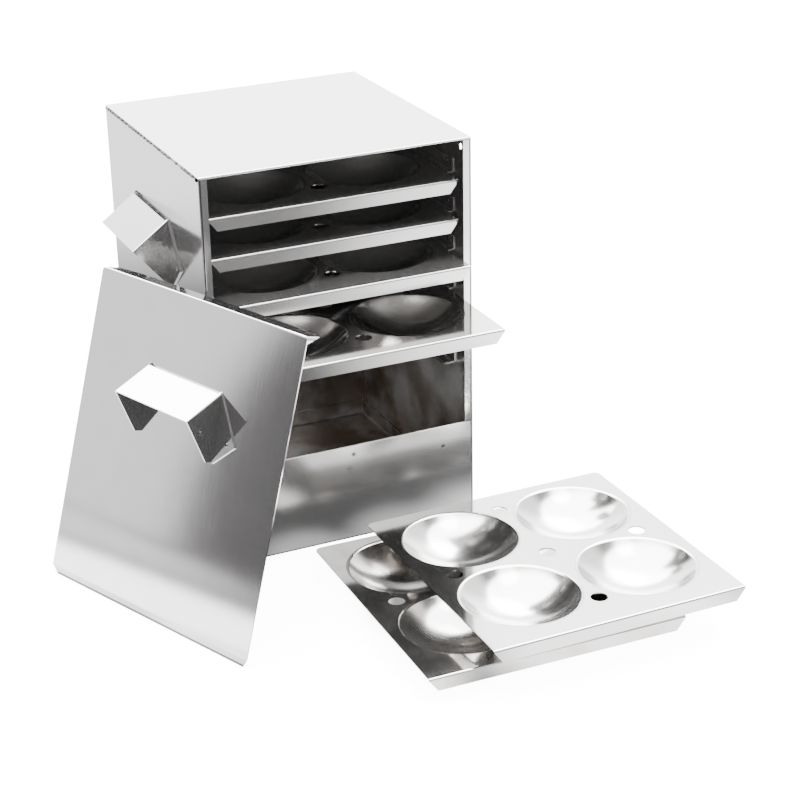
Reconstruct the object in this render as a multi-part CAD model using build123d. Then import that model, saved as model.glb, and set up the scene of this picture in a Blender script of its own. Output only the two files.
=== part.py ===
"""Box idli steamer of folded stainless sheet, standing open with its lid leaning against it.

Millimetres. X runs across the opening, -Y is the front, Z is up. The origin is the middle of the
cabinet's base, on the surface that it stands on.
"""

from math import atan, cos, degrees, radians, sin, sqrt
import os

from build123d import *

os.makedirs("parts", exist_ok=True)

# Trays, all alike
tray_width = 211.5
tray_depth = 222.0
tray_sheet = 0.8
tray_bend = 0.7
tray_corner = 5.5
tray_lip = 11.0
tray_lip_clip = 8.0
bowl_pitch = 100.5
bowl_diameter = 94.0
bowl_depth = 20.0
bowl_rim_bend = 3.0
steam_hole_diameter = 13.0
steam_hole_reach = 80.2
pattern_setback = 4.3

# Room for the trays in the cabinet
tray_side_clearance = 1.25
tray_back_clearance = 1.7
tray_recess = 6.5
level_count = 6
level_pitch = 33.2
top_level_drop = 35.5
lowest_level_rise = 43.5

# Cabinet
wall_sheet = 0.8
wall_bend = 0.6
corner_relief = 2.0
hem_gap = 0.4
hem_bend = 0.15
hem_length = 9.0
side_roof_flange = 10.0
back_flange = 10.0
pan_height = 14.0
pan_corner = 3.0
apron_height = 84.0
apron_flange = 12.0
stile_width = 7.0
stile_leg = 8.0
vent_diameter = 5.0
vent_setback = 17.5
vent_drop = 12.0

# Tray runners
runner_sheet = 1.0
runner_bend = 0.6
runner_ledge = 12.0
runner_leg = 12.0
runner_setback = 30.0

# How far each tray in the cabinet stands drawn out, from the top
cabinet_tray_pulls = (0.0, 0.0, 21.5, 81.5)

# Two trays stacked on the surface in front
loose_tray_gap = 42.5
loose_tray_shift = 55.2
lower_tray_turn = -0.9
upper_tray_turn = 0.3
upper_tray_shift = 41.1
upper_tray_forward = 15.0
stack_clearance = 0.1

# Handles, all alike, each folded from one strip
handle_sheet = 1.2
handle_bend = 0.5
handle_length = 83.5
handle_grip = 38.5
handle_leg = 45.0
handle_rise = 55.0
handle_toe = 3.8
handle_slot = 3.2
handle_foot_reach = 23.8
handle_foot_corner = 18.2
side_handle_drop = 55.0
side_handle_back = 4.0

# Lid, wider and taller than the opening by its overhang and overlap
lid_overhang = 1.0
lid_overlap = 1.5
lid_sheet = 0.8
lid_bend = 0.8
lid_flange = 20.0
lid_flange_end = 13.0
lid_flange_slant = 27.0
lid_tab = 5.5
lid_lip = 7.3
lid_lip_angle = 20.0
lid_lip_clip = 6.2
lid_corner = 3.0
lid_handle_height = 131.4
lid_handle_shift = 2.0
lid_handle_turn = 1.1
lid_lean = 17.85
lid_turn = -67.95
lid_contact = 97.4
lid_clearance = 0.2

# One overrun for every cut
overrun = 1.0

lowest_level = apron_height + lowest_level_rise
top_level = lowest_level + (level_count - 1) * level_pitch
cabinet_width = tray_width + 2 * (tray_side_clearance + stile_width)
cabinet_depth = tray_recess + tray_depth + tray_back_clearance + wall_sheet
cabinet_height = top_level + top_level_drop
side_handle_height = cabinet_height - side_handle_drop - handle_rise
lid_width = cabinet_width + 2 * lid_overhang
lid_height = cabinet_height - apron_height + lid_overlap
half_width = cabinet_width / 2
half_depth = cabinet_depth / 2
inner_half_width = half_width - wall_sheet
inner_half_depth = half_depth - wall_sheet
roof_underside = cabinet_height - wall_sheet
hem_thickness = 2 * wall_sheet + hem_gap
wall_middle_x = half_width - wall_sheet / 2
inner_middle_x = inner_half_width - wall_sheet / 2
wall_middle_y = half_depth - wall_sheet / 2


def folded_sheet(points, sheet, bend):
    """Cross-section of a sheet folded along these points, which are its middle line."""
    middle = [Vector(*point) for point in points]
    runs = [(after - before).normalized() for before, after in zip(middle, middle[1:])]
    normals = [Vector(-run.Y, run.X) for run in runs]
    turns = [before.cross(after).Z for before, after in zip(runs, runs[1:])]
    corners, radii = [], []
    for side in (1, -1):
        offset = side * sheet / 2
        row = [middle[0] + normals[0] * offset]
        for point, before, after in zip(middle[1:], normals, normals[1:]):
            row.append(point + (before + after) * (offset / (1 + before.dot(after))))
        row.append(middle[-1] + normals[-1] * offset)
        bends = [0] + [bend if side * turn > 0 else bend + sheet for turn in turns] + [0]
        corners += row[::side]
        radii += bends[::side]
    return make_face(FilletPolyline(*corners, radius=radii, close=True))


def run_x(section, start, end):
    """A section drawn as (y, z), run along X."""
    return extrude(Plane.YZ.offset(start) * section, amount=end - start)


def run_y(section, start, end):
    """A section drawn as (x, z), run along Y."""
    return extrude(Plane.XZ.offset(-start) * section, amount=start - end)


def run_z(section, start, end):
    """A section drawn as (x, y), run along Z."""
    return extrude(Plane.XY.offset(start) * section, amount=end - start)


def polygon(*points):
    return make_face(Polyline(*points, close=True))


def block(low, high):
    """A box between two opposite corners."""
    size = [b - a for a, b in zip(low, high)]
    return Pos(*low) * Box(*size, align=(Align.MIN, Align.MIN, Align.MIN))


def save(solid, name):
    solid.label = name
    export_step(solid, f"parts/{name}.step")


def top_panel():
    """Roof sheet with its front edge folded under; the hem stops short of the side panels."""
    hem_middle = cabinet_height - hem_thickness + wall_sheet / 2
    roof_middle = cabinet_height - wall_sheet / 2
    section = folded_sheet(
        [
            (half_depth, roof_middle),
            (-wall_middle_y, roof_middle),
            (-wall_middle_y, hem_middle),
            (hem_length - half_depth, hem_middle),
        ],
        wall_sheet,
        hem_bend,
    )
    panel = run_x(section, -half_width, half_width)
    notch = block(
        (inner_half_width, -half_depth - overrun, roof_underside - hem_thickness),
        (half_width + overrun, hem_length - half_depth + overrun, roof_underside),
    )
    return panel - notch - mirror(notch, about=Plane.YZ)


def side_panel():
    """Right side wall, with a flange turned in under the roof."""
    flange_middle = roof_underside - wall_sheet / 2
    section = folded_sheet(
        [
            (wall_middle_x, 0),
            (wall_middle_x, flange_middle),
            (half_width - side_roof_flange, flange_middle),
        ],
        wall_sheet,
        wall_bend,
    )
    panel = run_y(section, -half_depth, half_depth)
    flange_inner = half_width - side_roof_flange - overrun
    flange_low = roof_underside - wall_sheet - wall_bend
    front_notch = block(
        (flange_inner, -half_depth - overrun, flange_low),
        (inner_half_width, hem_length + corner_relief - half_depth, cabinet_height),
    )
    back_notch = block(
        (flange_inner, inner_half_depth, flange_low),
        (inner_half_width, half_depth + overrun, cabinet_height),
    )
    return panel - front_notch - back_notch


def steam_vent():
    """Cutter for the round vent near the top front corner of the right side wall."""
    centre = Pos(wall_middle_x, vent_setback - half_depth, cabinet_height - vent_drop)
    return centre * Rot(0, 90, 0) * Cylinder(vent_diameter / 2, wall_sheet + 2 * overrun)


def back_panel():
    """Back wall, with a flange folded forward along each side wall."""
    section = folded_sheet(
        [
            (-inner_middle_x, half_depth - back_flange),
            (-inner_middle_x, wall_middle_y),
            (inner_middle_x, wall_middle_y),
            (inner_middle_x, half_depth - back_flange),
        ],
        wall_sheet,
        wall_bend,
    )
    panel = run_z(section, 0, roof_underside)
    flange_low = (-half_width, half_depth - back_flange - overrun)
    flange_high = (half_width, inner_half_depth)
    pan_notch = block((*flange_low, -overrun), (*flange_high, pan_height + corner_relief))
    roof_notch = block(
        (*flange_low, roof_underside - wall_sheet - corner_relief),
        (*flange_high, cabinet_height),
    )
    return panel - pan_notch - roof_notch


def bottom_pan():
    """Floor of the water tank, pressed with a rim that stands inside all four walls."""
    outside = block(
        (-inner_half_width, -inner_half_depth, 0),
        (inner_half_width, inner_half_depth, pan_height),
    )
    inside = block(
        (wall_sheet - inner_half_width, wall_sheet - inner_half_depth, wall_sheet),
        (inner_half_width - wall_sheet, inner_half_depth - wall_sheet, pan_height + overrun),
    )
    shells = []
    for body, radius in ((outside, pan_corner), (inside, pan_corner - wall_sheet)):
        body = fillet(body.edges().filter_by(Axis.Z), radius)
        shells.append(fillet(body.faces().sort_by(Axis.Z)[0].edges(), radius))
    return shells[0] - shells[1]


def front_apron():
    """Front wall of the water tank: side flanges lie on the side walls, the top is hemmed."""
    wall = run_z(
        folded_sheet(
            [
                (-inner_middle_x, apron_flange - half_depth),
                (-inner_middle_x, -wall_middle_y),
                (inner_middle_x, -wall_middle_y),
                (inner_middle_x, apron_flange - half_depth),
            ],
            wall_sheet,
            wall_bend,
        ),
        0,
        apron_height - hem_thickness / 2,
    )
    wall -= block(
        (-half_width, -inner_half_depth, -overrun),
        (half_width, apron_flange - half_depth + overrun, pan_height + corner_relief),
    )
    hem_middle_y = hem_thickness - wall_sheet - wall_middle_y
    hem = run_x(
        folded_sheet(
            [
                (-wall_middle_y, pan_height),
                (-wall_middle_y, apron_height - wall_sheet / 2),
                (hem_middle_y, apron_height - wall_sheet / 2),
                (hem_middle_y, apron_height - hem_length),
            ],
            wall_sheet,
            hem_bend,
        ),
        corner_relief - inner_half_width,
        inner_half_width - corner_relief,
    )
    return wall + hem


def front_stile():
    """Right stile: a narrow angle welded inside the front edge of the side wall."""
    section = folded_sheet(
        [
            (inner_middle_x, stile_leg - half_depth),
            (inner_middle_x, -wall_middle_y),
            (half_width - stile_width, -wall_middle_y),
        ],
        wall_sheet,
        wall_bend,
    )
    return run_z(section, apron_height, cabinet_height - hem_thickness)


def runner(level):
    """Right runner: an angle whose ledge carries a tray's underside at this level."""
    ledge_middle = level - tray_sheet - runner_sheet / 2
    leg_middle = inner_half_width - runner_sheet / 2
    section = folded_sheet(
        [
            (inner_half_width - runner_ledge, ledge_middle),
            (leg_middle, ledge_middle),
            (leg_middle, level - tray_sheet - runner_sheet + runner_leg),
        ],
        runner_sheet,
        runner_bend,
    )
    return run_y(section, runner_setback - half_depth, half_depth - back_flange - corner_relief)


def bowl():
    """One idli bowl: a round dish that rolls over into the flat of the tray."""
    rim_radius = bowl_diameter / 2
    sweep = 2 * degrees(atan(bowl_depth / rim_radius))
    dish_radius = rim_radius / sin(radians(sweep)) - bowl_rim_bend
    dish_top = JernArc((0, -bowl_depth), (1, 0), dish_radius, sweep)
    rim_top = JernArc(dish_top @ 1, dish_top % 1, bowl_rim_bend, -sweep)
    dish_under = JernArc((0, -bowl_depth - tray_sheet), (1, 0), dish_radius + tray_sheet, sweep)
    rim_under = JernArc(dish_under @ 1, dish_under % 1, bowl_rim_bend - tray_sheet, -sweep)
    axis_line = Line(dish_top @ 0, dish_under @ 0)
    rim_line = Line(rim_top @ 1, rim_under @ 1)
    outline = make_face([dish_top, rim_top, rim_line, rim_under, dish_under, axis_line])
    return revolve(Plane.XZ * outline, Axis.Z)


def tray():
    """A tray about the middle of its top face: four bowls, five steam holes and a front lip."""
    half_tray = tray_width / 2
    front, back = -tray_depth / 2, tray_depth / 2
    section = folded_sheet(
        [
            (back, -tray_sheet / 2),
            (front + tray_sheet / 2, -tray_sheet / 2),
            (front + tray_sheet / 2, -tray_lip),
        ],
        tray_sheet,
        tray_bend,
    )
    plate = run_x(section, -half_tray, half_tray)
    plate = fillet(plate.edges().filter_by(Axis.Z).group_by(Axis.Y)[-1], tray_corner)
    clip = run_y(
        polygon(
            (half_tray, -tray_sheet - tray_bend),
            (half_tray + overrun, -tray_sheet - tray_bend),
            (half_tray + overrun, -tray_lip - overrun),
            (half_tray - tray_lip_clip, -tray_lip - overrun),
        ),
        front - overrun,
        front + tray_sheet + overrun,
    )
    plate -= clip + mirror(clip, about=Plane.YZ)
    pattern = Pos(0, pattern_setback, 0)
    hole = Cylinder(steam_hole_diameter / 2, 2 * (tray_sheet + overrun))
    for place in [Pos(0, 0, 0), *PolarLocations(steam_hole_reach, 4)]:
        plate -= pattern * place * hole
    bowl_well = Cylinder(bowl_diameter / 2, 2 * (tray_sheet + overrun))
    dish = bowl()
    for place in GridLocations(bowl_pitch, bowl_pitch, 2, 2):
        bowl_place = pattern * place
        plate = plate - bowl_place * bowl_well + bowl_place * dish
    return plate


def handle():
    """A strip handle on a panel in the XZ plane, reaching towards +Y, with its foot at z = 0.

    Seen from the side, the grip, the leg's free edge and the panel make a triangle with a blunt
    toe. Each leg folds over along the panel into a flat foot, a triangle pointing outwards.
    """
    fall = (handle_grip**2 + handle_rise**2 - handle_leg**2) / (2 * handle_rise)
    reach = sqrt(handle_grip**2 - fall**2)
    half_length = handle_length / 2
    inside = half_length - handle_sheet
    leg_middle = half_length - handle_sheet / 2
    top, nose = Vector(0, handle_rise), Vector(reach, handle_rise - fall)
    folds = folded_sheet(
        [
            (-leg_middle, handle_rise),
            (-leg_middle, handle_sheet / 2),
            (leg_middle, handle_sheet / 2),
            (leg_middle, handle_rise),
        ],
        handle_sheet,
        handle_bend,
    )
    slot = run_z(
        polygon(
            (handle_bend - inside, -overrun),
            (inside - handle_bend, -overrun),
            (inside - handle_bend, handle_slot),
            (handle_bend - inside, handle_slot),
        ),
        -overrun,
        handle_slot,
    )
    along_grip = Plane(
        origin=(0, top.X, top.Y), x_dir=(1, 0, 0), z_dir=(0, reach, -fall)
    )
    strip = along_grip * (run_z(folds, 0, handle_grip) - slot)
    strip &= run_x(polygon(top, nose, (handle_toe, 0), (0, 0)), -half_length, half_length)
    foot = run_y(
        polygon(
            (inside, handle_rise),
            (inside, 0),
            (half_length + handle_toe, 0),
            (half_length + handle_foot_reach, handle_foot_corner),
        ),
        0,
        handle_sheet,
    )
    return strip + foot + mirror(foot, about=Plane.YZ)


def lid_frame():
    """Where the lid's front bottom left corner stands: the flange touches the cabinet's corner."""
    turn, lean = radians(lid_turn), radians(lid_lean)
    across = Vector(cos(turn), sin(turn), 0)
    towards = Vector(-sin(turn), cos(turn), 0)
    up_face = towards * sin(lean) + Vector(0, 0, 1) * cos(lean)
    reach = lid_height * sin(lean) + lid_flange * cos(lean) + lid_clearance
    corner = Vector(-half_width, -half_depth, 0)
    return Plane(
        origin=corner - across * lid_contact - towards * reach, x_dir=across, z_dir=up_face
    )


def lid_panel():
    """Flat lid with a flange folded back along its top and a shallow lip along its bottom.

    Drawn with its front face in the XZ plane, the crease of the lip at z = 0. The flange narrows
    towards both ends, where a small corner tab stands between it and the face.
    """
    lip = radians(lid_lip_angle)
    face_middle = lid_sheet / 2
    flange_middle = lid_height - lid_sheet / 2
    section = folded_sheet(
        [
            (face_middle + lid_lip * sin(lip), -lid_lip * cos(lip)),
            (face_middle, 0),
            (face_middle, flange_middle),
            (lid_flange, flange_middle),
        ],
        lid_sheet,
        lid_bend,
    )
    left_clip = run_z(
        polygon(
            (-overrun, lid_flange_end),
            (0, lid_flange_end),
            (lid_flange_slant, lid_flange),
            (lid_flange_slant, lid_flange + overrun),
            (-overrun, lid_flange + overrun),
        ),
        flange_middle - lid_sheet,
        flange_middle + lid_sheet,
    )
    left_tab = run_x(
        polygon(
            (face_middle, flange_middle),
            (lid_flange_end, flange_middle),
            (face_middle, flange_middle - lid_tab),
        ),
        0,
        lid_sheet,
    )
    lid_centre = Plane.YZ.offset(lid_width / 2)
    panel = run_x(section, 0, lid_width)
    panel -= left_clip + mirror(left_clip, about=lid_centre)
    panel += left_tab + mirror(left_tab, about=lid_centre)
    lip_low = -lid_lip - overrun
    outline = FilletPolyline(
        (lid_lip_clip, lip_low),
        (0, 0),
        (0, lid_height),
        (lid_width, lid_height),
        (lid_width, 0),
        (lid_width - lid_lip_clip, lip_low),
        radius=[0, 0, lid_corner, lid_corner, 0, 0],
        close=True,
    )
    return panel & run_y(make_face(outline), -overrun, lid_flange + overrun)


def build_cabinet():
    right_side = side_panel()
    save(top_panel(), "top_panel")
    save(right_side - steam_vent(), "right_side_panel")
    save(mirror(right_side, about=Plane.YZ), "left_side_panel")
    save(back_panel(), "back_panel")
    save(bottom_pan(), "bottom_pan")
    save(front_apron(), "front_apron")
    stile = front_stile()
    save(stile, "right_front_stile")
    save(mirror(stile, about=Plane.YZ), "left_front_stile")
    for number in range(level_count):
        right_runner = runner(top_level - number * level_pitch)
        save(right_runner, f"right_runner_{number + 1}")
        save(mirror(right_runner, about=Plane.YZ), f"left_runner_{number + 1}")
    side_handle = Pos(half_width, side_handle_back, side_handle_height) * Rot(0, 0, -90) * handle()
    save(side_handle, "right_side_handle")
    save(mirror(side_handle, about=Plane.YZ), "left_side_handle")


def build_trays():
    blank = tray()
    middle_y = tray_recess - half_depth + tray_depth / 2
    for number, pull in enumerate(cabinet_tray_pulls):
        level = top_level - number * level_pitch
        save(Pos(0, middle_y - pull, level) * blank, f"tray_{number + 1}")
    stand_height = bowl_depth + tray_sheet
    loose_y = -half_depth - loose_tray_gap - tray_depth / 2
    lower = Pos(loose_tray_shift, loose_y, stand_height) * Rot(0, 0, lower_tray_turn)
    upper = Pos(
        loose_tray_shift + upper_tray_shift,
        loose_y - upper_tray_forward,
        2 * stand_height + stack_clearance,
    ) * Rot(0, 0, upper_tray_turn)
    save(lower * blank, "loose_tray_lower")
    save(upper * blank, "loose_tray_upper")


def build_lid():
    place = lid_frame()
    panel = place * lid_panel()
    grip_place = Pos(lid_width / 2 - lid_handle_shift, 0, lid_handle_height)
    grip = place * (grip_place * Rot(0, lid_handle_turn, 0) * Rot(0, 0, 180) * handle())
    stand = Pos(0, 0, -panel.bounding_box().min.Z)
    save(stand * panel, "lid_panel")
    save(stand * grip, "lid_handle")


build_cabinet()
build_trays()
build_lid()
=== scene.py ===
"""Looks of a box idli steamer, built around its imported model. Metres, in the model's own frame."""

from math import cos, radians, sin

import bpy
from mathutils import Matrix, Vector


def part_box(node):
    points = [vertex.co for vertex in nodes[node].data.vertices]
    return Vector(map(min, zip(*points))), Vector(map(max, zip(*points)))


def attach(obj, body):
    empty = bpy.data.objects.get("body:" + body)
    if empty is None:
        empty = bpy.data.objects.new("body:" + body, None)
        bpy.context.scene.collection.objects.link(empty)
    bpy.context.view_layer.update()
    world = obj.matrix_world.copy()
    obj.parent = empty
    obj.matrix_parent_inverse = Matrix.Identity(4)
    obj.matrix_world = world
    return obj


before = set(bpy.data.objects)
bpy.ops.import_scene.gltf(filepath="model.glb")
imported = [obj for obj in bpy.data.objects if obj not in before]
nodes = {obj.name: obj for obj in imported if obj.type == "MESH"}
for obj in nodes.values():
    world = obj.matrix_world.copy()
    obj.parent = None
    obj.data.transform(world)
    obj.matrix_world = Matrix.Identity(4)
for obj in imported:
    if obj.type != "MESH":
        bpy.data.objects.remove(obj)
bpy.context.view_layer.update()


# Cabinet walls. The roof, the side walls and the back are bent from 0.8 mm polished stainless
# sheet, gently wavy and with a fine rolling grain, and are spot welded. Steam has stained them
# inside and left limescale on the right wall; a painted contact shadow darkens their outer foot.
cabinet_half_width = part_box("top_panel")[1][0]
cabinet_half_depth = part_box("top_panel")[1][1]
cabinet_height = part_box("top_panel")[1][2]
skin_depth = 0.0004
wall_steel = (0.62, 0.617, 0.614)
wall_roughness = 0.06
wall_inner_roughness = 0.2
wall_bareness = 0.985
wall_haze = 0.006
dullness_haze = 0.25
smear_dark = 0.95
smear_light = 1.04
wall_smear_size = 0.055
wall_smear_roughness = 0.07
wall_wave_size = 0.09
wall_wave_height = 0.00004
grain_pitch = 0.0006
grain_height = 0.000002
wall_grain_roughness = 0.03
upright_grain = (1, 1, 0.01)
level_grain = (0.01, 1, 1)
foot_line_height = 0.0009
foot_line_end = foot_line_height * 1.5
painted_foot_shadow = (0.05, 0.048, 0.046)
foot_line_roughness = 0.2
stain_top = 0.13
stain_bottom = 0.03
wall_stain = (0.41, 0.36, 0.32)
cloud_low = 0.40
cloud_high = 0.60
wall_cloud_haze = 0.013
limescale_inset = 0.009
limescale_full_inset = 0.002
limescale_back = 0.075
limescale_foot = 0.02
limescale_top = 0.14
limescale_soft = 0.03
limescale_strength = 27


class Wire:
    """One socket among a tree's nodes. Sums and products of wires add its Math nodes."""

    def __init__(self, tree, socket=None):
        self.tree = tree
        self.socket = socket

    def node(self, kind, settings, inputs, output=0):
        """Adds a node with its settings and inputs, and returns one of its outputs."""
        made = self.tree.nodes.new(kind)
        for setting, value in settings.items():
            setattr(made, setting, value)
        for place, value in inputs.items():
            if isinstance(value, Wire):
                self.tree.links.new(value.socket, made.inputs[place])
            else:
                made.inputs[place].default_value = value
        return Wire(self.tree, made.outputs[output]) if made.outputs else None

    def math(self, operation, first, second=0.0):
        return self.node("ShaderNodeMath", {"operation": operation}, {0: first, 1: second})

    def __add__(self, other):
        return self.math("ADD", self, other)

    def __sub__(self, other):
        return self.math("SUBTRACT", self, other)

    def __rsub__(self, other):
        return self.math("SUBTRACT", other, self)

    def __mul__(self, other):
        return self.math("MULTIPLY", self, other)

    def __abs__(self):
        return self.math("ABSOLUTE", self)

    def __gt__(self, other):
        return self.math("GREATER_THAN", self, other)

    def __lt__(self, other):
        return self.math("LESS_THAN", self, other)

    __radd__ = __add__
    __rmul__ = __mul__


def new_finish(name):
    """An empty node material, and the point on the piece that its patterns are drawn from."""
    material = bpy.data.materials.new(name)
    material.use_nodes = True
    material.node_tree.nodes.clear()
    point = Wire(material.node_tree).node("ShaderNodeTexCoord", {}, {}, "Object")
    return material, point


def coordinates(point):
    return [point.node("ShaderNodeSeparateXYZ", {}, {0: point}, axis) for axis in range(3)]


def blotches(point, size, stretch=(1, 1, 1)):
    """Soft cloudy variation from 0 to 1, with blotches of this size."""
    drawn = point.node("ShaderNodeMapping", {}, {"Vector": point, "Scale": stretch})
    return point.node(
        "ShaderNodeTexNoise", {}, {"Vector": drawn, "Scale": 1 / size, "Detail": 3.0}, "Fac"
    )


def least(first, second):
    return first.math("MINIMUM", first, second)


def fade(value, start, end):
    """0 where a value is at start, turning smoothly to 1 at end."""
    return value.node(
        "ShaderNodeMapRange", {"interpolation_type": "SMOOTHSTEP"}, {0: value, 1: start, 2: end}
    )


def tint(share, first, second):
    """A colour between two others, each a wire or three numbers."""
    ends = [end if isinstance(end, Wire) else (*end, 1) for end in (first, second)]
    return share.node("ShaderNodeMix", {"data_type": "RGBA"}, {0: share, 6: ends[0], 7: ends[1]}, 2)


def shaded(colour, share):
    return tuple(channel * share for channel in colour)


def steel(material, colour, roughness, bareness, height, gloss=0.5):
    """Ends a material as steel. Bareness is 1 where nothing dulls it; a haze scatters the rest."""
    bump = height.node("ShaderNodeBump", {}, {"Height": height, "Distance": 1.0}, "Normal")
    shader = height.node(
        "ShaderNodeBsdfPrincipled",
        {},
        {
            "Base Color": colour,
            "Metallic": bareness,
            "Roughness": roughness,
            "Specular IOR Level": gloss,
            "Normal": bump,
        },
    )
    height.node("ShaderNodeOutputMaterial", {}, {"Surface": shader})
    return material


def dress(node, material):
    nodes[node].data.materials.clear()
    nodes[node].data.materials.append(material)


def limescale_patch(x, y, z):
    """1 in the middle of the limescale on the right wall, fading out round it."""
    at_wall = fade(x, cabinet_half_width - limescale_inset, cabinet_half_width - limescale_full_inset)
    before_back = fade(y, limescale_back, limescale_back - limescale_soft)
    above_foot = fade(z, limescale_foot, limescale_foot + limescale_soft)
    below_top = fade(z, limescale_top, limescale_top - limescale_soft)
    return at_wall * before_back * above_foot * below_top


def wall_finish(name, grain, wave_height=wall_wave_height, dullness=0.0):
    """Polished outside, hazy and stained inside. The grain runs where its stretch is small."""
    material, point = new_finish(name)
    x, y, z = coordinates(point)
    side_depth = least(cabinet_half_width - abs(x), cabinet_half_depth - abs(y))
    inside = least(side_depth, cabinet_height - z) > skin_depth
    smears = blotches(point, wall_smear_size)
    lines = blotches(point, grain_pitch, grain)
    clean = tint(smears, shaded(wall_steel, smear_dark), shaded(wall_steel, smear_light))
    clouds = fade(smears, cloud_low, cloud_high)
    stained = tint(clouds, wall_stain, wall_steel)
    soiled = inside * fade(z, stain_top, stain_bottom)
    haze = inside * (wall_haze + clouds * wall_cloud_haze)
    haze = haze * (1 + limescale_patch(x, y, z) * limescale_strength)
    # Painted contact shadow: a thin dark line on the outer foot, where the sheet meets the table.
    foot = fade(z, foot_line_end, foot_line_height) * (1 - inside)
    roughness = wall_roughness + smears * wall_smear_roughness + lines * wall_grain_roughness
    return steel(
        material,
        tint(foot, tint(soiled, clean, stained), painted_foot_shadow),
        roughness + inside * wall_inner_roughness + dullness + foot * foot_line_roughness,
        wall_bareness - dullness * dullness_haze - haze,
        blotches(point, wall_wave_size) * wave_height + lines * grain_height,
    )


upright_wall = wall_finish("upright_wall", upright_grain)
for wall in ("right_side_panel", "left_side_panel", "back_panel"):
    dress(wall, upright_wall)
dress("top_panel", wall_finish("roof", level_grain))


# Water tank. The pan is folded up from one sheet and stands inside the walls; the apron closes
# the tank in front and has its top edge folded over. Bending and welding have dented the apron a
# little, and boiled water has stained the pan.
apron_wave_height = 0.00025
apron_dullness = 0.1

dress("bottom_pan", wall_finish("tank_floor", level_grain))
dress("front_apron", wall_finish("apron", level_grain, apron_wave_height, apron_dullness))


# Front stiles. Two narrow angles stiffen the front edges of the side walls, spot welded inside
# them. A thin painted shadow runs along the left one's join to its wall, and trays have scuffed
# the right one.
stile_roughness = 0.08
stile_grain_roughness = 0.04
stile_smear_dark = 0.92
stile_bareness = 0.98
scuff_low = 0.100
scuff_high = 0.172
scuff_size = 0.0012
scuff_level = 0.5
scuff_dark = (0.30, 0.30, 0.30)
scuff_roughness = 0.3
gap_inset = 0.0016
gap_reach = cabinet_half_width - gap_inset
gap_soft = 0.0006
painted_gap_shadow = (0.07, 0.065, 0.06)


def stile_finish():
    material, point = new_finish("stile")
    x, _, z = coordinates(point)
    lines = blotches(point, grain_pitch, upright_grain)
    place = (x > 0) * (z > scuff_low) * (z < scuff_high)
    scuffs = place * (blotches(point, scuff_size) > scuff_level)
    smears = blotches(point, wall_smear_size)
    # Painted shadow: a thin dark band along the left stile's outer edge, at its join to the wall.
    gap_shadow = fade(0 - x, gap_reach - gap_soft, gap_reach)
    colour = tint(gap_shadow, tint(smears, shaded(wall_steel, stile_smear_dark), wall_steel), painted_gap_shadow)
    return steel(
        material,
        tint(scuffs, colour, scuff_dark),
        stile_roughness + lines * stile_grain_roughness + scuffs * scuff_roughness,
        stile_bareness,
        lines * grain_height,
    )


stile = stile_finish()
dress("right_front_stile", stile)
dress("left_front_stile", stile)


# Runners. Six pairs of small angles, folded from duller sheet and spot welded to the side walls,
# carry the trays. Their ledges are rubbed bright along the middle by the trays' edges.
runner_levels = range(1, 7)
runner_steel = (0.54, 0.535, 0.53)
runner_roughness = 0.30
runner_bareness = 0.93
runner_cloud_size = 0.02
runner_cloud_dark = 0.85
runner_cloud_roughness = 0.1
front_to_back_grain = (1, 0.01, 1)
rub_inset = 0.006
rub_width = 0.005
rub_outer = cabinet_half_width - rub_inset
rub_inner = rub_outer - rub_width
rub_soft = 0.001
rub_polish = 0.15


def runner_finish():
    material, point = new_finish("runner")
    reach = abs(coordinates(point)[0])
    inner_edge = fade(reach, rub_inner, rub_inner + rub_soft)
    rubbed = inner_edge * fade(reach, rub_outer + rub_soft, rub_outer)
    lines = blotches(point, grain_pitch, front_to_back_grain)
    cloud = blotches(point, runner_cloud_size)
    return steel(
        material,
        tint(cloud, shaded(runner_steel, runner_cloud_dark), runner_steel),
        runner_roughness + cloud * runner_cloud_roughness - rubbed * rub_polish,
        runner_bareness,
        lines * grain_height,
    )


runner = runner_finish()
for side in ("right", "left"):
    for level in runner_levels:
        dress(f"{side}_runner_{level}", runner)


# Roof seams. The roof is welded to each side wall along its edge. The bead is thin and uneven,
# left grey by the heat, and has a small nugget at each end. Its front end is painted black, a
# painted shade standing in for a small dark hole at the roof's front corner.
seam_inset = 0.0001
seam_reach = cabinet_half_width - seam_inset
seam_drop = 0.0018
seam_end_inset = 0.0022
seam_radius = 0.0013
seam_thin_share = 0.25
seam_thin_level = 0.4
seam_thick_level = 0.56
seam_nugget_radius = 0.0005
seam_nugget_length = 0.0028
seam_nugget_full_share = 0.4
seam_drift = 0.0007
seam_lump_size = 0.005
seam_steps = 420
seam_sides = 8
seam_grey = (0.115, 0.112, 0.109)
seam_shade = 0.45
seam_shade_level = 0.42
seam_grey_level = 0.55
seam_roughness = 0.6
seam_bump_height = 0.00005
seam_hole_shade = (0.002, 0.002, 0.002)
seam_hole_shade_length = 0.0052
seam_hole_shade_soft = 0.001

seam_sizes = {
    "Radius": seam_radius,
    "Nugget radius": seam_nugget_radius,
    "Nugget share": seam_nugget_length / (2 * cabinet_half_depth),
    "Drift": seam_drift,
    "Lump size": seam_lump_size,
}


def seam_finish():
    material, point = new_finish("seam")
    from_front = coordinates(point)[1] + cabinet_half_depth
    # Painted shade: the bead's front end is painted black for the dark of a small hole there.
    hole_shade = fade(from_front, seam_hole_shade_length + seam_hole_shade_soft, seam_hole_shade_length)
    lumps = blotches(point, seam_lump_size)
    grey = fade(lumps, seam_shade_level, seam_grey_level)
    colour = tint(grey, shaded(seam_grey, seam_shade), seam_grey)
    return steel(
        material,
        tint(hole_shade, colour, seam_hole_shade),
        roughness=seam_roughness,
        bareness=0.0,
        height=lumps * seam_bump_height,
        gloss=0.0,
    )


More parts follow.
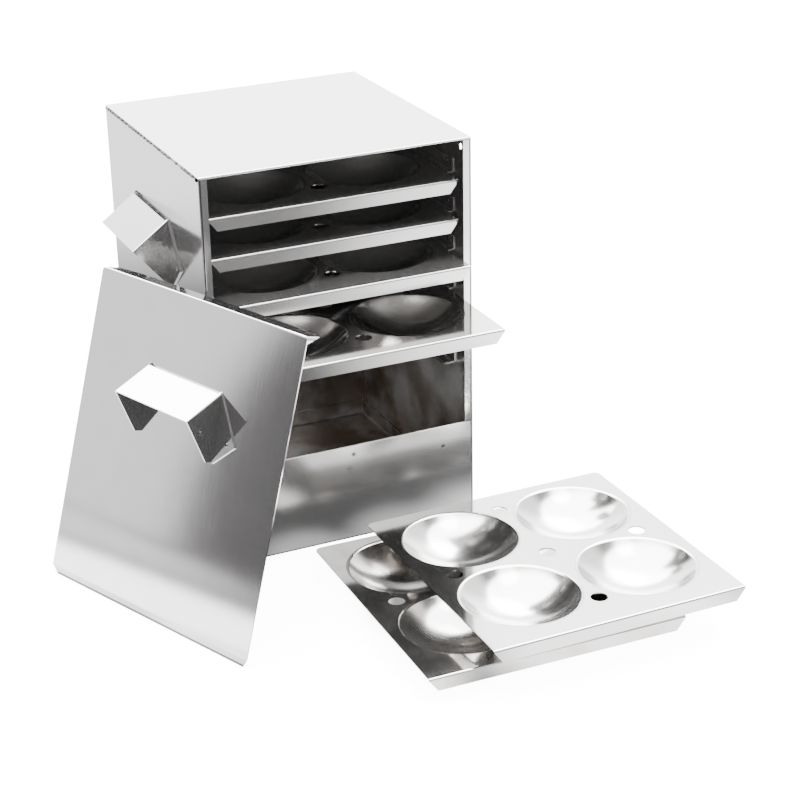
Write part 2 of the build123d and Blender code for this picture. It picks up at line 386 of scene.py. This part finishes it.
def new_recipe(name, sizes):
    """A Geometry Nodes tree that takes a mesh and these named sizes, and its inputs as wires."""
    tree = bpy.data.node_groups.new(name, "GeometryNodeTree")
    tree.interface.new_socket("Mesh", in_out="OUTPUT", socket_type="NodeSocketGeometry")
    tree.interface.new_socket("Mesh", in_out="INPUT", socket_type="NodeSocketGeometry")
    for size in sizes:
        tree.interface.new_socket(size, in_out="INPUT", socket_type="NodeSocketFloat")
    start = tree.nodes.new("NodeGroupInput")
    return [Wire(tree, start.outputs[socket]) for socket in ("Mesh", *sizes)]


def end_recipe(made, material):
    """Makes what a recipe made real and smooth, with its material, and returns the tree."""
    real = made.node("GeometryNodeRealizeInstances", {}, {0: made})
    smooth = real.node("GeometryNodeSetShadeSmooth", {}, {0: real})
    finished = smooth.node("GeometryNodeSetMaterial", {}, {0: smooth, "Material": material})
    made.tree.links.new(finished.socket, made.tree.nodes.new("NodeGroupOutput").inputs[0])
    return made.tree


def make_piece(name, tree, sizes, guide_mesh, body):
    """Runs a recipe on a guide mesh and keeps the result as a plain mesh piece of a body."""
    guide = bpy.data.objects.new(f"{name}_guide", guide_mesh)
    bpy.context.scene.collection.objects.link(guide)
    modifier = guide.modifiers.new("recipe", "NODES")
    modifier.node_group = tree
    for item in tree.interface.items_tree:
        if item.in_out == "INPUT" and item.name in sizes:
            modifier[item.identifier] = sizes[item.name]
    shape = guide.evaluated_get(bpy.context.evaluated_depsgraph_get())
    mesh = bpy.data.meshes.new_from_object(shape)
    guide.modifiers.remove(modifier)
    bpy.data.objects.remove(guide)
    piece = bpy.data.objects.new(name, mesh)
    bpy.context.scene.collection.objects.link(piece)
    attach(piece, body)


def seam_recipe():
    """A tube along one edge that thickens and sways with its lumps, with a nugget at each end."""
    line, radius, nugget_radius, nugget_share, drift, lump_size = new_recipe("seam_bead", seam_sizes)
    curve = line.node("GeometryNodeMeshToCurve", {}, {0: line})
    dotted = line.node("GeometryNodeResampleCurve", {}, {"Curve": curve, "Count": seam_steps})
    place = line.node("GeometryNodeInputPosition", {}, {})
    scale = line.math("DIVIDE", 1.0, lump_size)
    lumps = line.node("ShaderNodeTexNoise", {}, {"Vector": place, "Scale": scale}, "Fac")
    share = line.node("GeometryNodeSplineParameter", {}, {}, "Factor")
    from_end = least(share, 1 - share)
    nugget = nugget_radius * fade(from_end, nugget_share, nugget_share * seam_nugget_full_share)
    full = fade(lumps, seam_thin_level, seam_thick_level)
    thick = radius * (full * (1 - seam_thin_share) + seam_thin_share) + nugget
    sway = line.node("ShaderNodeCombineXYZ", {}, {2: (lumps - 0.5) * drift - nugget})
    drawn = line.node("GeometryNodeSetPosition", {}, {"Geometry": dotted, "Offset": sway})
    ring = line.node(
        "GeometryNodeCurvePrimitiveCircle", {}, {"Resolution": seam_sides, "Radius": 1.0}
    )
    tube = line.node(
        "GeometryNodeCurveToMesh",
        {},
        {"Curve": drawn, "Profile Curve": ring, "Scale": thick, "Fill Caps": True},
    )
    return end_recipe(tube, seam_finish())


seam_bead = seam_recipe()
for side, reach in (("right", seam_reach), ("left", -seam_reach)):
    edge = bpy.data.meshes.new(f"{side}_roof_edge")
    front_end = (reach, seam_end_inset - cabinet_half_depth, cabinet_height - seam_drop)
    back_end = (reach, cabinet_half_depth - seam_nugget_radius, cabinet_height - seam_drop)
    edge.from_pydata([front_end, back_end], [(0, 1)], [])
    make_piece(f"{side}_roof_seam", seam_bead, seam_sizes, edge, "cabinet")


# Handles. Each is cut and folded from one strip of 1.2 mm stainless: a flat grip and two legs,
# which fold over into feet welded to the panel. The strip keeps its bright rolled face, a little
# smeared by hands.
strip_steel = (0.60, 0.597, 0.594)
strip_roughness = 0.07
strip_grain_roughness = 0.04
strip_bareness = 0.99
strip_smear_size = 0.018
strip_smear_dark = 0.94
strip_smear_light = 1.05
strip_smear_roughness = 0.06
strip_smear_height = 0.00003


def strip_finish(name, grain):
    material, point = new_finish(name)
    smears = blotches(point, strip_smear_size)
    lines = blotches(point, grain_pitch, grain)
    return steel(
        material,
        tint(smears, shaded(strip_steel, strip_smear_dark), shaded(strip_steel, strip_smear_light)),
        strip_roughness + smears * strip_smear_roughness + lines * strip_grain_roughness,
        strip_bareness,
        smears * strip_smear_height + lines * grain_height,
    )


side_strip = strip_finish("side_handle_strip", front_to_back_grain)
dress("right_side_handle", side_strip)
dress("left_side_handle", side_strip)


# Spot welds. The handles' feet and the runners' legs are held by spot welds, which stand out as
# low round pimples, and three more hold the folded edge of the apron.
weld_radius = 0.0017
weld_height = 0.00045
weld_segments = 16
weld_rings = 8
weld_cloud_size = 0.0012
weld_dark = 0.12
weld_light = 0.7
weld_roughness = 0.08
weld_cloud_roughness = 0.06
weld_cloud_height = 0.00002
weld_bareness = 0.98
foot_weld_inset = 0.0085
outward_weight = 0.01
runner_weld_spots = (-0.075, -0.01, 0.06)
runner_weld_inset = 0.0018
runner_weld_drop = 0.0045
apron_weld_spots = ((0.0053, 0.0760), (0.0012, 0.0643), (0.0863, 0.0661))

weld_sizes = {"Weld radius": weld_radius, "Weld height": weld_height}


def weld_finish():
    material, point = new_finish("spot_weld")
    cloud = blotches(point, weld_cloud_size)
    bright = fade(cloud, cloud_low, cloud_high)
    return steel(
        material,
        tint(bright, shaded(wall_steel, weld_dark), shaded(wall_steel, weld_light)),
        weld_roughness + cloud * weld_cloud_roughness,
        weld_bareness,
        cloud * weld_cloud_height,
    )


def weld_recipe():
    """A flattened ball on each point of a mesh, turned to face the way that the point gives."""
    spots, radius, height = new_recipe("spot_welds", weld_sizes)
    ball = spots.node(
        "GeometryNodeMeshUVSphere",
        {},
        {"Segments": weld_segments, "Rings": weld_rings, "Radius": 1.0},
    )
    flatness = spots.node("ShaderNodeCombineXYZ", {}, {0: radius, 1: radius, 2: height})
    pimple = spots.node("GeometryNodeTransform", {}, {"Geometry": ball, "Scale": flatness})
    facing = spots.node(
        "GeometryNodeInputNamedAttribute", {"data_type": "FLOAT_VECTOR"}, {"Name": "facing"}
    )
    turned = spots.node("FunctionNodeAlignRotationToVector", {"axis": "Z"}, {"Vector": facing})
    placed = spots.node(
        "GeometryNodeInstanceOnPoints", {}, {"Points": spots, "Instance": pimple, "Rotation": turned}
    )
    return end_recipe(placed, weld_finish())


weld_pimples = weld_recipe()


def foot_welds(handle, along, facing):
    """One weld near the tip of each of a handle's two feet, on the face that looks outwards."""
    corners = [vertex.co for vertex in nodes[handle].data.vertices]
    welds = []
    for way in (along, -along):
        tip = max(corners, key=lambda corner: corner.dot(way) + corner.dot(facing) * outward_weight)
        welds.append((tip - way * foot_weld_inset, facing))
    return welds


def make_welds(name, welds, body):
    mesh = bpy.data.meshes.new(f"{name}_spots")
    mesh.from_pydata([place for place, facing in welds], [], [])
    attribute = mesh.attributes.new("facing", "FLOAT_VECTOR", "POINT")
    for item, (place, facing) in zip(attribute.data, welds):
        item.vector = facing
    make_piece(name, weld_pimples, weld_sizes, mesh, body)


front = Vector((0, -1, 0))
cabinet_welds = [(Vector((x, -cabinet_half_depth, z)), front) for x, z in apron_weld_spots]
for side, way in (("right", Vector((1, 0, 0))), ("left", Vector((-1, 0, 0)))):
    cabinet_welds += foot_welds(f"{side}_side_handle", front, way)
    leg_face = way.x * (cabinet_half_width - runner_weld_inset)
    for level in runner_levels:
        leg_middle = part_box(f"{side}_runner_{level}")[1][2] - runner_weld_drop
        cabinet_welds += [(Vector((leg_face, y, leg_middle)), -way) for y in runner_weld_spots]
make_welds("cabinet_spot_welds", cabinet_welds, "cabinet")


# Trays. Each is one 0.8 mm sheet with four pressed bowls, five steam holes and a lip folded down
# in front. The flat is polished from side to side and the bowls are buffed in rings. Painted
# shade darkens the cut sides, the edges of the steam holes and the bowls' rims. Steam and batter
# have warmed the colour, most on the tray that lies lowest.
tray_steel = (0.56, 0.552, 0.545)
tray_roughness = 0.05
tray_bareness = 0.99
tray_turns = {"loose_tray_lower": -0.9, "loose_tray_upper": 0.3}
tray_smear_size = 0.03
tray_smear_roughness = 0.05
tray_wave_size = 0.06
tray_wave_height = 0.00005
tray_soil = (0.40, 0.365, 0.335)
heavy_soils = {"loose_tray_lower": 0.6}
light_soil = 0.12
soil_low = 0.35
soil_high = 0.7
soil_haze = 0.03
steamed_trays = ("tray_1", "tray_2", "tray_3")
steamed_haze = 0.05
tray_half_width = 0.10575
bowl_pitch = 0.1005
bowl_radius = 0.047
bowl_edge_soft = 0.0015
bowl_setback = 0.0043
bowl_dullness = 0.08
bright_bowls = {"tray_4": 0.02}
buffing_pitch = 0.0009
buffing_height = 0.0000008
buffing_roughness = 0.015
rim_width = 0.0009
painted_rim_shade = 0.6
steam_hole_radius = 0.0065
steam_hole_reach = 0.0802
cut_edge_width = 0.0003
painted_edge_shade = (0.14, 0.135, 0.13)
hole_line_outer = steam_hole_radius + cut_edge_width
hole_line_inner = steam_hole_radius + cut_edge_width / 3


def off_centre(point, off_x, off_y):
    """How far a point lies from a centre that is this far off along each axis."""
    spread = point.node("ShaderNodeCombineXYZ", {}, {0: off_x, 1: off_y})
    return point.node("ShaderNodeVectorMath", {"operation": "LENGTH"}, {0: spread}, "Value")


def edge_shade_mask(flat, x, y):
    """Painted shade: 1 on the two cut sides and round the middle steam hole and four others."""
    side = fade(abs(x), tray_half_width - cut_edge_width, tray_half_width)
    middle_hole = off_centre(flat, x, y)
    side_hole = off_centre(flat, abs(x) - steam_hole_reach, y)
    end_hole = off_centre(flat, x, abs(y) - steam_hole_reach)
    nearest_hole = least(least(middle_hole, side_hole), end_hole)
    return side.math("MAXIMUM", side, fade(nearest_hole, hole_line_outer, hole_line_inner))


def tray_finish(tray):
    material, point = new_finish(f"{tray}_sheet")
    low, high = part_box(tray)
    centre = [(a + b) / 2 for a, b in zip(low, high)]
    turn = (0, 0, radians(tray_turns.get(tray, 0)))
    flat = point.node(
        "ShaderNodeMapping",
        {"vector_type": "TEXTURE"},
        {"Vector": point, "Location": centre, "Rotation": turn},
    )
    x, y, _ = coordinates(flat)
    y = y - bowl_setback
    reach = off_centre(flat, abs(x) - bowl_pitch / 2, abs(y) - bowl_pitch / 2)
    in_bowl = fade(reach, bowl_radius + bowl_edge_soft, bowl_radius - bowl_edge_soft)
    # Painted shade: a thin darker ring along each bowl's rim, dimming its bright crease.
    rim = fade(reach, bowl_radius - rim_width, bowl_radius)
    rim = rim * fade(reach, bowl_radius + rim_width, bowl_radius)
    rings = flat.node(
        "ShaderNodeTexNoise",
        {"noise_dimensions": "1D"},
        {"W": reach, "Scale": 1 / buffing_pitch, "Detail": 2.0},
        "Fac",
    )
    lines = blotches(flat, grain_pitch, level_grain)
    marks = rings * in_bowl + lines * (1 - in_bowl)
    smears = blotches(flat, tray_smear_size)
    soiled = fade(smears, soil_low, soil_high) * heavy_soils.get(tray, light_soil)
    haze = steamed_haze if tray in steamed_trays else 0.0
    clean = tint(smears, shaded(tray_steel, smear_dark), shaded(tray_steel, smear_light))
    colour = tint(soiled, tint(rim, clean, shaded(tray_steel, painted_rim_shade)), tray_soil)
    roughness = tray_roughness + smears * tray_smear_roughness + marks * buffing_roughness
    # Painted shade darkens the cut sides and the edges of the steam holes.
    return steel(
        material,
        tint(edge_shade_mask(flat, x, y), colour, painted_edge_shade),
        roughness + in_bowl * bright_bowls.get(tray, bowl_dullness) + haze,
        tray_bareness - haze - soiled * soil_haze,
        blotches(flat, tray_wave_size) * tray_wave_height + marks * buffing_height,
    )


for tray in ("tray_1", "tray_2", "tray_3", "tray_4", "loose_tray_lower", "loose_tray_upper"):
    dress(tray, tray_finish(tray))


# Lid. One flat 0.8 mm sheet with a hooked flange along its top and a shallow lip below, polished
# like the walls and flatter than they are. A painted contact shadow darkens its lower edge, where
# it stands on the table. Its handle is a third strip handle, spot welded on.
lid_lean = 17.85
lid_turn = -67.95
lid_handle_turn = 1.1
lid_steel = (0.625, 0.606, 0.614)
lid_roughness = 0.05
lid_grain_roughness = 0.02
lid_bareness = 0.985
lid_smear_size = 0.07
lid_smear_roughness = 0.035
lid_smear_height = 0.00003
lid_cloud_size = 0.02
lid_edge_width = 0.0018
lid_edge_end = lid_edge_width * 1.5
lid_painted_foot_shadow = (0.12, 0.115, 0.11)
even_grain = (1, 1, 1)

lid_rotation = (radians(-lid_lean), 0, radians(lid_turn))
standing = Matrix.Rotation(radians(lid_turn), 3, "Z") @ Matrix.Rotation(radians(-lid_lean), 3, "X")
lid_foot = min(vertex.co.dot(standing.col[2]) for vertex in nodes["lid_panel"].data.vertices)


def lid_finish():
    material, point = new_finish("lid_sheet")
    flat = point.node(
        "ShaderNodeMapping", {"vector_type": "TEXTURE"}, {"Vector": point, "Rotation": lid_rotation}
    )
    up = coordinates(flat)[2]
    # Painted contact shadow along the lid's lower edge, where it stands on the table.
    edge = fade(up, lid_foot + lid_edge_end, lid_foot + lid_edge_width)
    smears = blotches(flat, lid_smear_size)
    clouds = blotches(flat, lid_cloud_size)
    lines = blotches(flat, grain_pitch, upright_grain)
    clean = tint(clouds, shaded(lid_steel, smear_dark), shaded(lid_steel, smear_light))
    return steel(
        material,
        tint(edge, clean, lid_painted_foot_shadow),
        lid_roughness + smears * lid_smear_roughness + lines * lid_grain_roughness,
        lid_bareness,
        smears * lid_smear_height + lines * grain_height,
    )


dress("lid_panel", lid_finish())
dress("lid_handle", strip_finish("lid_handle_strip", even_grain))

lid_along = standing @ Matrix.Rotation(radians(lid_handle_turn), 3, "Y") @ Vector((1, 0, 0))
lid_facing = standing @ Vector((0, -1, 0))
lid_welds = foot_welds("lid_handle", lid_along, lid_facing)
make_welds("lid_spot_welds", lid_welds, "lid")


# Studio. The steamer stands on a round white table under a wide soft ceiling lamp, with a bright
# backdrop behind it and a dark room in front. To the camera, table and room are one even white
# but for a soft shade under the loose trays; in the steel, the room shows as it is lit.

# Each lamp has its azimuth and elevation, its inner and outer reach in degrees, and its strength.
lamps = {
    "backdrop": ((66, 22), 8, 50, 6.9),
    "ceiling": ((75, 75), 37, 42, 22.0),
    "window": ((45, 48), 14, 22, 12.0),
    "left_wall": ((120, 10), 60, 110, 2.2),
    "right_wall": ((10, 24), 16, 40, 4.0),
    "front_right": ((-50, 30), 8, 30, 0.9),
    "front_top": ((-70, 68), 8, 16, 14.0),
    "front_left": ((-130, 44), 6, 16, 0.5),
    "front_low": ((-72, 24), 5, 13, 4.5),
}
dark_flag = ((171, 0), 12.5, 13.2)
dark_flag_share = 0.93
dark_room = 0.17
white_room = 24
table_radius = 1.45
table_step = 5
table_gloom = 0.07
table_white = 0.6
table_bounce = 0.015
table_glow = 12

# Each pool of light on the table has its centre, its inner and outer radius, and its strength.
light_pools = (
    ((-0.45, -0.08, 0), 0.12, 0.38, 6.3),
    ((-0.19, -0.24, 0), 0.03, 0.1, 3.0),
    ((-0.95, 0.42, 0), 0.2, 0.5, 1.8),
    ((-0.55, 1.2, 0), 0.35, 0.85, 2.6),
    ((1.0, -0.6, 0), 0.6, 0.79, 4.0),
    ((0.32, -0.56, 0), 0.08, 0.235, 3.3),
    ((0.12, -0.42, 0), 0.07, 0.14, 5.0),
    ((-0.06, -0.42, 0), 0.03, 0.07, 4.4),
    ((0.13, -0.11, 0), 0.01, 0.075, 2.2),
    ((0.05, -0.1, 0), 0.03, 0.07, 0.9),
    ((-0.04, -0.105, 0), 0.02, 0.055, 0.8),
)
shade_place = (0.035, -0.25, 0)
shade_inner = 0.05
shade_outer = 0.085
shade_loss = 11.55
fill_place = Vector((-0.1, -1.5, 0.5))
fill_aim = Vector((0, -0.1, 0.15))
fill_width = 0.8
fill_power = 45
camera_place = (-0.58548, -1.52461, 0.79289)
camera_turn = -24.201
camera_tilt = 66.331
camera_roll = -1.215
camera_lens = 92.82
camera_sensor = 36


def direction(azimuth, elevation):
    across = cos(radians(elevation))
    return (
        across * cos(radians(azimuth)),
        across * sin(radians(azimuth)),
        sin(radians(elevation)),
    )


def towards(ray, centre, inner, outer):
    """1 where a ray points within inner degrees of a direction, fading to 0 at outer degrees."""
    alike = ray.node(
        "ShaderNodeVectorMath",
        {"operation": "DOT_PRODUCT"},
        {0: ray, 1: direction(*centre)},
        "Value",
    )
    return fade(alike, cos(radians(outer)), cos(radians(inner)))


def away(point, centre):
    return point.node("ShaderNodeVectorMath", {"operation": "DISTANCE"}, {0: point, 1: centre}, "Value")


def seen_by_camera(point):
    return point.node("ShaderNodeLightPath", {}, {}, "Is Camera Ray")


def make_room():
    """A world that is white to the camera and lit by the lamps to everything else."""
    world = bpy.data.worlds.new("studio")
    world.use_nodes = True
    world.node_tree.nodes.clear()
    ray = Wire(world.node_tree).node("ShaderNodeTexCoord", {}, {}, "Generated")
    room = dark_room
    for centre, inner, outer, strength in lamps.values():
        room = room + towards(ray, centre, inner, outer) * strength
    room = room * (1 - towards(ray, *dark_flag) * dark_flag_share)
    seen = seen_by_camera(ray)
    strength = room * (1 - seen) + seen * white_room
    light = ray.node("ShaderNodeBackground", {}, {"Strength": strength})
    light.node("ShaderNodeOutputWorld", {}, {"Surface": light})
    return world


def table_finish():
    """White to the camera but for the shade. To the steel it is dark, with its pools of light."""
    material, point = new_finish("table_white")
    seen = seen_by_camera(point)
    pools = table_gloom
    for centre, inner, outer, strength in light_pools:
        pools = fade(away(point, centre), outer, inner) * strength + pools
    shade = fade(away(point, shade_place), shade_outer, shade_inner)
    white = (1 - seen) * table_bounce + seen * table_white * (1 - shade)
    paper = point.node("ShaderNodeBsdfDiffuse", {}, {"Color": tint(white, (0, 0, 0), (1, 1, 1))})
    strength = seen * (table_glow - shade * shade_loss) + (1 - seen) * pools
    glow = point.node("ShaderNodeEmission", {}, {"Strength": strength})
    both = point.node("ShaderNodeAddShader", {}, {0: paper, 1: glow})
    both.node("ShaderNodeOutputMaterial", {}, {"Surface": both})
    return material


bpy.context.scene.world = make_room()

table_mesh = bpy.data.meshes.new("table")
table_rim = [
    (table_radius * cos(radians(azimuth)), table_radius * sin(radians(azimuth)), 0)
    for azimuth in range(0, 360, table_step)
]
table_mesh.from_pydata(table_rim, [], [range(len(table_rim))])
table_mesh.materials.append(table_finish())
table = bpy.data.objects.new("table", table_mesh)
bpy.context.scene.collection.objects.link(table)

fill_lamp = bpy.data.lights.new("fill", "AREA")
fill_lamp.size = fill_width
fill_lamp.energy = fill_power
fill = bpy.data.objects.new("fill", fill_lamp)
fill.location = fill_place
fill.rotation_euler = (fill_aim - fill_place).to_track_quat("-Z", "Y").to_euler()
fill.visible_glossy = False
bpy.context.scene.collection.objects.link(fill)

camera = bpy.data.objects.new("camera", bpy.data.cameras.new("camera"))
bpy.context.scene.collection.objects.link(camera)
camera.data.sensor_width = camera_sensor
camera.data.lens = camera_lens
camera.matrix_world = (
    Matrix.Translation(camera_place)
    @ Matrix.Rotation(radians(camera_turn), 4, "Z")
    @ Matrix.Rotation(radians(camera_tilt), 4, "X")
    @ Matrix.Rotation(radians(camera_roll), 4, "Z")
)
bpy.context.scene.camera = camera
